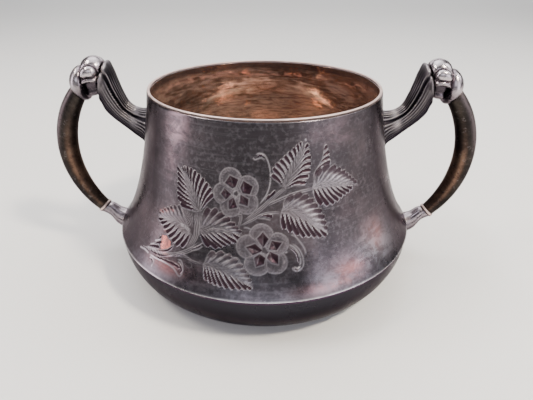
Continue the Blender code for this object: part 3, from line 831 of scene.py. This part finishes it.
def knuckle_relief(t, turn):
    """Dome on top, a bean lying under it on each flank, a thin ledge, and a hollow below."""
    a = folded(turn) + 0 * t
    along_it = 2 * t - 1 + 0 * a
    ends = arch(np.abs(along_it) ** 7)
    dome = 0.8 * arch((a / 47) ** 2) - 0.35
    reach = ((a - 64) / 16.0) ** 2 + (np.abs(along_it - 0.04) / 0.90) ** 2.6
    bean = 1.5 * arch(reach) - 0.30
    ledge = 0.70 * arch(((a - 89) / 6.0) ** 2) - 0.50
    hollow = -1.6 * smoothstep(95, 102, a) * (1 - smoothstep(132, 146, a))
    rise = np.where(a < 47, dome, np.where(reach < 1, bean, np.where((a > 82) & (a < 95.5), ledge, -0.50)))
    seat = 0.9 * bump(np.sqrt(reach), 1.10, 0.08)
    return rise + hollow - seat - 0.6 * (1 - ends) * (a < 150)


def collar_relief(t, turn):
    """Fat rounded ring."""
    a = folded(turn) + 0 * t
    crown = arch(np.abs(2 * t - 1) ** 2.2)
    return 0.45 * crown - 0.85 * (1 - crown) * (0.35 + 0.65 * (a < 130))


def arm_relief(t, turn):
    """Three leaf ribs with rolled tips, fine flutes along them, and a beaded line in the furrows."""
    a = folded(turn) + 0 * t
    fade = 1 - smoothstep(0.72, 1.0, t)
    furrow = bump(a, 52, 6.0)
    lower = bump(a, 128, 8)
    beads = 0.30 * bump(a, 60, 3.5) * (0.5 + 0.5 * np.cos(t * 210)) * smoothstep(0.2, 0.35, t)
    flutes = 0.17 * np.cos(np.radians(a) * 34) * smoothstep(0.10, 0.4, t)
    swell = 0.45 * bump(a, 0, 34) + 0.55 * bump(a, 86, 26)
    depth = (1.05 * furrow + 0.7 * lower) * (0.35 + 0.65 * fade)
    back = np.clip(1 - t / 0.11, 0, 1)
    roll = 2.6 * (1 - arch(back ** 2.2)) - 0.55 * bump(t, 0.11, 0.06)
    hatch = 0.07 * np.cos(t * 330 + np.radians(a) * 14) * smoothstep(0.45, 0.75, t)
    return swell * fade - depth + beads + flutes + hatch - roll


def socket_relief(t, turn):
    """Soft flutes that run from the ferrule into the flare."""
    grow = smoothstep(0.05, 0.3, t) * (1 - 0.4 * smoothstep(0.6, 1.0, t))
    return 0.10 * np.cos(turn * 12) * grow


def mirrored(points, side):
    """The same grid for the right handle, or turned half a turn for the left one."""
    return points if side > 0 else points * np.array([-1.0, -1.0, 1.0])


def hollow_values(relief, rows, around, deep_at, high_at, rubbed_highlight=(), crests=0.0):
    """How dark the hollows are and how bright the high parts, from the relief itself.  The underside is
    painted dark as painted shade, and the bright parts are kept to the upper side as painted highlight.

    Rubbed spots are (place along, its spread, strength), painted highlights that also stand for wear, on the
    upper side.  Crests is how much the bright parts are fine lines on the crests of the flutes.
    """
    t, turn = loft_grid(rows, around)
    rise = relief(t, turn)
    # Painted shade on the underside of the section.
    under = smoothstep(70, 125, folded(turn))
    dark = 1 - smoothstep(deep_at, (deep_at + high_at) / 2, rise)
    bright = smoothstep((deep_at + high_at) / 2, high_at, rise)
    crest = rise - 0.5 * (np.roll(rise, 2, axis=1) + np.roll(rise, -2, axis=1))
    bright = np.maximum((1 - 0.6 * crests) * bright, crests * smoothstep(0.08, 0.26, crest))
    # Painted highlights at the rubbed spots, which also stand for wear.
    for place, width, strength in rubbed_highlight:
        bright = np.maximum(bright, strength * bump(t, place, width) * (1 - dark))
    return {"dark": np.maximum(dark, 0.72 * under), "bright": bright * (1 - under)}


def make_handle(side, name, leaf_cast, knot_cast, grip, bright):
    """All the pieces of one handle."""
    ferrule_turn = math.degrees(FERRULE_LENGTH / BOW_RADIUS)
    gap_turn = math.degrees(SEAM / BOW_RADIUS)
    head, between_ends, foot = BOW_HALVES
    start = bow_sections(np.array([BOW_FOOT - ferrule_turn - 2 * gap_turn]), np.array([foot]))
    socket_sections = np.vstack([start[:, [2, 3, 0, 1, 4]], SOCKET_SECTIONS])
    cast_parts = (
        ("leaf_arm", ARM_SECTIONS, 200, 180, arm_relief, (-0.8, 1.0, ARM_RUBBED_HIGHLIGHTS, 0.7), leaf_cast),
        ("knuckle", KNUCKLE_SECTIONS, 110, 200, knuckle_relief, (-2.3, 0.6), knot_cast),
        ("collar", COLLAR_SECTIONS, 48, 120, collar_relief, (-1.2, 0.5), knot_cast),
        ("socket", socket_sections, 60, 120, socket_relief, (-0.5, 0.25), knot_cast),
    )
    for part, sections, rows, around, relief, span, cast in cast_parts:
        grid = loft(smooth_line(sections, rows), around, relief)
        values = hollow_values(relief, rows, around, *span)
        mesh = surface(f"{name}_{part}_cast", mirrored(grid, side), values=values)
        add_piece(f"{name}_{part}_relief", mesh, [cast], f"{name}_{part}")

    around = 72
    t = np.linspace(0, 1, 96)
    turns = folded(np.linspace(0, 2 * math.pi, around, endpoint=False))
    halves = head * (1 - t) ** 2 + between_ends * 2 * t * (1 - t) + foot * t ** 2
    tilts = HEAD_TILT * np.clip(1 - 5 * t, 0, 1)
    grid = loft(bow_sections(BOW_HEAD + (BOW_FOOT - BOW_HEAD) * t, halves, tilts), around)
    # The copper streak on the inner side is partly bare copper and partly a painted highlight; the light
    # patch high on the outer side is a painted highlight.
    inner_side = np.maximum(bump(turns, 112, 15), 0.5 * bump(turns, 145, 40))
    values = {"copper": np.outer(bump(t, 0.66, 0.30), inner_side),
              "worn_and_highlight": np.outer(1 - smoothstep(0.25, 0.55, t), bump(turns, 46, 20))}
    mesh = surface(f"{name}_bow_plate", mirrored(grid, side), values=values)
    add_piece(f"{name}_bow_grip", mesh, [grip], f"{name}_bow")

    x = np.linspace(-1, 1, 12)
    halves = 3.15 + 0.45 * arch(np.abs(x) ** 3)
    middle = BOW_FOOT - gap_turn - ferrule_turn / 2
    grid = loft(bow_sections(middle - x * (ferrule_turn / 2 + gap_turn), halves), around)
    # Painted shade: the bead's two sides are painted dark, one more widely than the other, leaving its
    # middle bright.
    sides = np.maximum(smoothstep(0.05, 0.45, x), smoothstep(0.55, 0.95, -x))
    values = {"dark": np.outer(sides, np.ones(around))}
    mesh = surface(f"{name}_ferrule_ring", mirrored(grid, side), values=values)
    add_piece(f"{name}_ferrule_bead", mesh, [bright], f"{name}_ferrule")


# ------------------------------------------------------------------ materials

class Nodes:
    """Short hand for building a material's node tree; its tone is laid down in coats."""

    def __init__(self, name):
        self.material = bpy.data.materials.new(name)
        self.material.use_nodes = True
        self.tree = self.material.node_tree
        self.shader = self.tree.nodes["Principled BSDF"]
        self.place = self.new("ShaderNodeTexCoord").outputs["Object"]

    def new(self, kind, inputs=None, **settings):
        """A node with these settings and inputs."""
        node = self.tree.nodes.new(kind)
        for key, value in settings.items():
            setattr(node, key, value)
        self.feed(node, inputs or {})
        return node

    def feed(self, node, inputs):
        """Set a node's inputs: numbers and colours, other nodes' outputs, or names of mesh attributes."""
        for key, source in inputs.items():
            if isinstance(source, str):
                source = self.new("ShaderNodeAttribute", attribute_name=source).outputs["Fac"]
            if isinstance(source, (int, float, tuple)):
                node.inputs[key].default_value = source
            else:
                self.tree.links.new(source, node.inputs[key])

    def axes(self):
        """X, Y and Z of the place on the bowl, in metres."""
        return self.new("ShaderNodeSeparateXYZ", {"Vector": self.place}).outputs

    def noise(self, scale, detail=4.0, rough=0.55, distortion=0.0):
        """Noise in object space; the scale is a number, or one for each axis."""
        vector = self.place
        if isinstance(scale, tuple):
            vector = self.new("ShaderNodeMapping", {"Vector": vector, "Scale": scale}).outputs["Vector"]
            scale = 1.0
        inputs = {"Vector": vector, "Scale": scale, "Detail": detail, "Roughness": rough,
                  "Distortion": distortion}
        return self.new("ShaderNodeTexNoise", inputs).outputs["Fac"]

    def remap(self, value, low, high, to_low=0.0, to_high=1.0):
        """Smooth change from to_low, where the value is low, to to_high, where it is high."""
        inputs = {"Value": value, "From Min": low, "From Max": high, "To Min": to_low, "To Max": to_high}
        return self.new("ShaderNodeMapRange", inputs, interpolation_type="SMOOTHSTEP").outputs["Result"]

    def math(self, operation, a, b=0.0, clamp=False):
        """One sum on one or two values."""
        return self.new("ShaderNodeMath", {0: a, 1: b}, operation=operation, use_clamp=clamp).outputs[0]

    def times(self, a, b, clamp=False):
        """Product of two values."""
        return self.math("MULTIPLY", a, b, clamp)

    def band(self, value, middle, outer, inner, strength=1.0):
        """Full strength within the inner distance of a middle value, and nothing beyond the outer."""
        away = self.math("ABSOLUTE", self.math("SUBTRACT", value, middle))
        return self.remap(away, outer, inner, 0.0, strength)

    def base(self, value, *stops):
        """Start the tone as a ramp of (value, colour) stops."""
        node = self.new("ShaderNodeValToRGB", {"Fac": value})
        ramp = node.color_ramp
        while len(ramp.elements) < len(stops):
            ramp.elements.new(0.5)
        for element, (at, colour) in zip(ramp.elements, stops):
            element.position = at
            element.color = (*colour, 1.0)
        self.tone = node.outputs["Color"]

    def coat(self, share, colour):
        """Lay a colour over the tone."""
        inputs = {"Factor": share, "A": self.tone, "B": (*colour, 1.0)}
        self.tone = self.new("ShaderNodeMix", inputs, data_type="RGBA").outputs["Result"]

    def finish(self, rough, bumps, metallic=1.0, grazing=0.55):
        """The finished material; bumps are (height, distance, strength), each laid over the last."""
        inputs = {"Base Color": self.tone, "Roughness": rough, "Metallic": metallic,
                  "Specular Tint": (grazing, 0.94 * grazing, 0.97 * grazing, 1.0)}
        for height, distance, strength in bumps:
            relief = {"Height": height, "Distance": distance, "Strength": strength}
            if "Normal" in inputs:
                relief["Normal"] = inputs["Normal"]
            inputs["Normal"] = self.new("ShaderNodeBump", relief).outputs["Normal"]
        self.feed(self.shader, inputs)
        return self.material


def body_material():
    """Tarnished silver plate: brown and mauve toning, faint turning lines, dark oxide in the cuts, and
    painted shade and painted highlights in patches and along the shoulder's edge.
    """
    n = Nodes("body_plate_tarnished")
    lines = n.noise((24.0, 24.0, 1100.0), 5.0, 0.6)
    fine = n.noise(700.0, 4.0, 0.6)
    n.base(n.noise(34.0, 6.0, 0.62, 0.5),
           (0.34, (0.042, 0.038, 0.043)), (0.50, (0.070, 0.061, 0.069)), (0.66, (0.108, 0.087, 0.096)))
    n.coat(n.remap(n.noise(210.0, 6.0, 0.72, 0.4), 0.44, 0.62, 0.0, 0.32), (0.043, 0.038, 0.043))
    n.coat(n.remap(fine, 0.45, 0.70, 0.0, 0.45), (0.170, 0.153, 0.172))
    n.coat(n.remap(lines, 0.52, 0.68, 0.0, 0.22), (0.205, 0.192, 0.212))
    uneven = n.remap(n.noise(70.0, 5.0, 0.65, 0.6), 0.35, 0.60, 0.55, 1.0)
    torn = n.remap(n.noise((120.0, 120.0, 210.0), 6.0, 0.72, 0.7), 0.40, 0.60, 0.30, 1.25)
    # Painted shade, then the pink tone that also paints highlights, then painted highlights and reflections,
    # each from the wall's patches.
    n.coat(n.times("shade", uneven), (0.030, 0.027, 0.030))
    n.coat(n.times("blush_and_highlight", torn, True), (0.50, 0.34, 0.385))
    n.coat(n.times("painted_highlight", torn, True), (0.39, 0.38, 0.435))
    blotch = n.remap(n.noise(150.0, 5.0, 0.7, 0.8), 0.38, 0.58)
    n.coat(n.times("copper", n.remap(blotch, 0.0, 1.0, 0.35, 1.0)), (0.64, 0.22, 0.19))
    stipple = n.remap(n.noise(1300.0, 3.0, 0.6), 0.40, 0.60, 0.35, 0.80)
    n.coat(n.times("frost", stipple), (0.245, 0.220, 0.242))
    # Bright: the cuts' burnished lips and fine lines, and the painted highlights on the leaves.
    n.coat(n.times("bright", 0.85), (0.60, 0.56, 0.595))
    n.coat(n.times("dark", 0.94), (0.030, 0.016, 0.023))
    # Bright shoulder edge: wear and a painted highlight.
    n.coat(n.times("worn_and_highlight", n.remap(n.noise(220.0, 3.0), 0.3, 0.6, 0.6, 1.0)), (0.66, 0.63, 0.65))
    rough = n.remap(n.noise(60.0, 6.0, 0.7), 0.3, 0.7, 0.24, 0.38)
    rough = n.math("ADD", rough, n.times("frost", 0.12), True)
    rough = n.math("ADD", rough, n.times("dark", 0.15), True)
    return n.finish(rough, ((lines, 0.00004, 0.20), (fine, 0.00004, 0.22)))


# Heights on the lining, in metres.
RUBBED_HIGHLIGHT_LINE = 0.0664  # a bright line painted as a highlight that also stands for wear; it sits here at the back and falls towards the sides
COPPER_SPOTS = 0.0750
GOLDEN_FROM, GOLDEN_FULL = 0.022, 0.038
LIP_SHADE_FROM, LIP_SHADE_FULL = 0.0764, 0.0785


def lining_material():
    """Copper-brown inside: lathe strokes, golden below a bright line painted at the sides as a highlight
    that also stands for wear, spotted and dark under the lip.
    """
    n = Nodes("lining_copper_tarnish")
    strokes = n.noise((170.0, 170.0, 1300.0), 7.0, 0.72, 0.3)
    blotch = n.noise((200.0, 200.0, 420.0), 6.0, 0.75, 0.6)
    n.base(n.noise((60.0, 60.0, 150.0), 8.0, 0.72, 0.6),
           (0.36, (0.125, 0.083, 0.072)), (0.47, (0.37, 0.245, 0.195)),
           (0.56, (0.70, 0.49, 0.39)), (0.68, (0.45, 0.39, 0.385)))
    axes = n.axes()
    height = axes["Z"]
    turn = n.math("ARCTAN2", axes["X"], axes["Y"])  # 0 at the back of the bowl
    fall = n.math("POWER", n.math("ABSOLUTE", n.math("DIVIDE", turn, 0.52)), 4.0)
    above = n.math("ADD", n.math("SUBTRACT", height, RUBBED_HIGHLIGHT_LINE), n.times(fall, 0.0016))
    golden = n.times(n.remap(above, 0.001, -0.008, 0.0, 0.9), n.remap(height, GOLDEN_FROM, GOLDEN_FULL))
    n.coat(golden, (1.0, 0.73, 0.57))
    n.coat(n.band(above, 0.006, 0.006, 0.001, 0.55), (0.22, 0.155, 0.135))
    n.coat(n.remap(strokes, 0.48, 0.57, 0.0, 0.65), (0.20, 0.115, 0.08))
    n.coat(n.remap(strokes, 0.48, 0.38, 0.0, 0.55), (0.86, 0.64, 0.50))
    n.coat(n.remap(n.noise(240.0, 5.0, 0.7), 0.54, 0.70, 0.0, 0.45), (0.14, 0.10, 0.09))
    # Painted highlight and painted reflection: a bright line at the sides, which also stands for wear.
    sides = n.math("MAXIMUM", n.remap(turn, 0.10, 0.40), n.remap(turn, -0.06, -0.24, 0.0, 0.80))
    sides = n.times(sides, n.band(turn, 0.0, 0.78, 0.60))
    rubbed_highlight = n.times(n.band(above, 0.0, 0.0028, 0.0004), sides)
    rubbed_highlight = n.times(rubbed_highlight, n.remap(blotch, 0.42, 0.54, 0.20, 0.95))
    n.coat(rubbed_highlight, (1.0, 0.84, 0.66))
    ring = n.band(height, COPPER_SPOTS, 0.0019, 0.0004)
    n.coat(n.times(ring, n.remap(blotch, 0.49, 0.57, 0.0, 0.85)), (1.0, 0.60, 0.48))
    n.coat(n.remap(height, LIP_SHADE_FROM, LIP_SHADE_FULL, 0.0, 0.80), (0.10, 0.072, 0.068))
    rough = n.remap(n.noise(90.0, 5.0, 0.7), 0.3, 0.7, 0.08, 0.15)
    rough = n.math("SUBTRACT", rough, n.times(rubbed_highlight, 0.04))
    return n.finish(rough, ((strokes, 0.00005, 0.25), (n.noise(500.0, 3.0), 0.00003, 0.20)), 0.80, 1.0)


def dish_material():
    """Smooth plate painted very dark as painted shade of its down-facing side, a little lighter and then
    mauve towards the shoulder.
    """
    n = Nodes("dish_plate_dark")
    # Painted shade: the dish is given a very dark colour, lighter towards the shoulder.
    n.base(n.noise(24.0, 5.0, 0.6, 0.5),
           (0.3, (0.006, 0.006, 0.009)), (0.6, (0.011, 0.011, 0.016)), (0.8, (0.020, 0.018, 0.024)))
    height = n.axes()["Z"]
    n.coat(n.remap(height, 0.0120, 0.0205, 0.0, 0.6), (0.032, 0.031, 0.038))
    n.coat(n.remap(height, 0.0203, 0.0212, 0.0, 0.7), (0.075, 0.036, 0.070))
    rough = n.remap(n.noise(70.0, 5.0, 0.7), 0.3, 0.7, 0.24, 0.40)
    return n.finish(rough, ((n.noise((20.0, 20.0, 500.0), 4.0, 0.6), 0.00005, 0.2),), 0.9)


def bright_material():
    """Worn silver of the lip wire and the ferrules, with painted shade where their dark value is set."""
    n = Nodes("rim_silver_worn")
    n.base(n.noise(160.0, 5.0, 0.65),
           (0.30, (0.52, 0.40, 0.375)), (0.55, (0.70, 0.54, 0.50)), (0.75, (0.86, 0.68, 0.63)))
    # Painted shade on the wire's outer side and underside and on the ferrules' sides.
    n.coat(n.times("dark", 0.85), (0.055, 0.048, 0.052))
    rough = n.remap(n.noise(300.0, 4.0), 0.3, 0.7, 0.42, 0.56)
    return n.finish(rough, ((n.noise(700.0, 3.0), 0.00004, 0.3),))


def cast_material(name, base, gloss):
    """Cast work: oxide in the hollows and painted shade on the underside, high parts on the upper side
    lighter as wear and painted highlight, speckled all over.
    """
    n = Nodes(name)
    stops = ((at, tuple(share * c for c in base)) for at, share in ((0.32, 0.6), (0.52, 1.0), (0.72, 1.6)))
    n.base(n.noise(150.0, 6.0, 0.7), *stops)
    speck = n.noise(900.0, 4.0, 0.7)
    n.coat(n.remap(speck, 0.50, 0.66, 0.0, 0.45), (0.035, 0.030, 0.036))
    # Bright is wear and painted highlight on the upper side; dark is oxide in the hollows and painted shade
    # underneath.
    n.coat(n.times("bright", 0.60), (0.56, 0.51, 0.53))
    n.coat(n.times("dark", 0.90), (0.016, 0.013, 0.019))
    rough = n.remap(n.noise(240.0, 4.0), 0.3, 0.7, gloss, gloss + 0.14)
    return n.finish(rough, ((speck, 0.00010, 0.40),))


def grip_material():
    """The bows: dark plate, with a copper streak on the inner side that is partly bare copper and partly a
    painted highlight, and a painted highlight high on the outer side.
    """
    n = Nodes("bow_plate_toned")
    clouds = n.noise(75.0, 6.0, 0.68, 0.6)
    n.base(clouds, (0.32, (0.009, 0.008, 0.009)), (0.50, (0.022, 0.019, 0.018)),
    (0.70, (0.052, 0.044, 0.038)))
    # Copper streak, partly bare copper and partly painted highlight; then the painted highlight on the outer
    # side.
    n.coat(n.times("copper", n.remap(clouds, 0.36, 0.60, 0.25, 0.9)), (0.20, 0.115, 0.078))
    n.coat(n.times("worn_and_highlight", 0.70), (0.20, 0.165, 0.17))
    specks = n.noise(620.0, 5.0, 0.75)
    n.coat(n.remap(specks, 0.52, 0.66, 0.0, 0.6), (0.016, 0.013, 0.013))
    n.coat(n.remap(n.noise(420.0, 4.0, 0.7), 0.58, 0.72, 0.0, 0.4), (0.20, 0.175, 0.17))
    rough = n.remap(n.noise(200.0, 5.0), 0.3, 0.7, 0.34, 0.50)
    return n.finish(rough, ((specks, 0.00008, 0.40),))


def floor_material():
    """Plain pale floor."""
    n = Nodes("floor_pale")
    n.feed(n.shader, {"Base Color": (0.74, 0.73, 0.72, 1.0), "Roughness": 0.75})
    return n.material


# ------------------------------------------------------------------ stage, light and camera

def make_floor():
    """Square floor, a hair below the bowl's base."""
    size, drop = 4.0, 0.00005
    corners = [(-size, -size, -drop), (size, -size, -drop), (size, size, -drop), (-size, size, -drop)]
    mesh = bpy.data.meshes.new("floor")
    mesh.from_pydata(corners, [], [(0, 1, 2, 3)])
    mesh.materials.append(floor_material())
    add_object("floor", mesh)


# Rectangular soft lights, all aimed at the middle of the bowl: name, place, size, power, colour.
BOWL_MIDDLE = (0.0, 0.0, 0.045)
WHITE = (1.0, 1.0, 1.0)
SOFTBOXES = (
    ("top", (-0.06, 0.25, 1.10), (1.5, 1.1), 13.0, WHITE),
    ("left_strip", (-0.62, -0.08, 0.22), (0.12, 0.42), 1.2, (1.0, 0.91, 0.97)),
    ("right_box", (0.64, -0.44, 0.24), (0.58, 0.40), 2.1, (0.98, 0.94, 1.0)),
    ("front_box", (-0.05, -0.95, 0.62), (0.9, 0.30), 2.7, (0.92, 0.92, 1.0)),
    ("left_high", (-0.50, -0.04, 0.70), (0.34, 0.04), 4.0, (1.0, 0.92, 0.82)),
    ("right_high", (0.43, -0.27, 0.70), (0.10, 0.10), 8.6, (1.0, 0.90, 0.74)),
    ("right_fill", (0.66, 0.10, 0.56), (0.26, 0.40), 2.2, WHITE),
    ("back_box", (0.0, 2.30, 0.95), (3.0, 0.95), 26.0, WHITE),
)


def make_lights():
    """Soft studio light: a dim bluish world, the eight softboxes and a broad sun."""
    world = bpy.data.worlds.new("studio")
    bpy.context.scene.world = world
    world.use_nodes = True
    background = world.node_tree.nodes["Background"].inputs
    background["Color"].default_value = (0.86, 0.88, 0.94, 1.0)
    background["Strength"].default_value = 0.18
    for name, place, size, power, colour in SOFTBOXES:
        lamp = bpy.data.lights.new(name, "AREA")
        lamp.shape = "RECTANGLE"
        lamp.size, lamp.size_y = size
        lamp.energy = power
        lamp.color = colour
        holder = add_object(name, lamp)
        holder.location = place
        holder.rotation_euler = (Vector(BOWL_MIDDLE) - Vector(place)).to_track_quat("-Z", "Y").to_euler()
    sun = bpy.data.lights.new("sky", "SUN")
    sun.energy, sun.angle = 0.8, math.radians(40.0)
    add_object("sky", sun).rotation_euler = (math.radians(-28.0), math.radians(-12.0), 0.0)


def make_camera():
    """The photograph's view: about 0.18 m in front of the bowl, looking 29 degrees down."""
    lens_px, frame_width, sensor = 425.0, 533.0, 36.0
    turn, pitch, roll = math.radians(1.2), math.radians(29.16), math.radians(0.26)
    camera = bpy.data.cameras.new("camera")
    camera.sensor_width = sensor
    camera.lens = sensor * lens_px / frame_width
    camera.clip_start = 0.01
    holder = add_object("camera", camera)
    right = Vector((1, 0, 0))
    ahead = Vector((0, math.cos(pitch), -math.sin(pitch)))
    up = right.cross(ahead)
    right, up = (math.cos(roll) * right + math.sin(roll) * up, math.cos(roll) * up - math.sin(roll) * right)
    basis = Matrix((right, up, -ahead)).transposed()
    spin = Matrix.Rotation(turn, 3, "Z")
    place = spin @ Vector((0.86, -176.9, 124.8)) * MM
    holder.matrix_world = Matrix.Translation(place) @ (spin @ basis).to_4x4()
    bpy.context.scene.camera = holder


def main():
    """Camera, lights, floor and the pieces."""
    make_camera()
    make_lights()
    make_floor()
    plate, lining, dish = body_material(), lining_material(), dish_material()
    bright, grip = bright_material(), grip_material()
    leaf_cast = cast_material("cast_leaf_striated", (0.022, 0.019, 0.023), 0.28)
    knot_cast = cast_material("cast_leaf_polished", (0.26, 0.218, 0.240), 0.21)
    make_wall(plate, lining)
    make_dish(dish, lining)
    make_rim(bright)
    for side, name in ((1, "right"), (-1, "left")):
        make_handle(side, name, leaf_cast, knot_cast, grip, bright)


main()
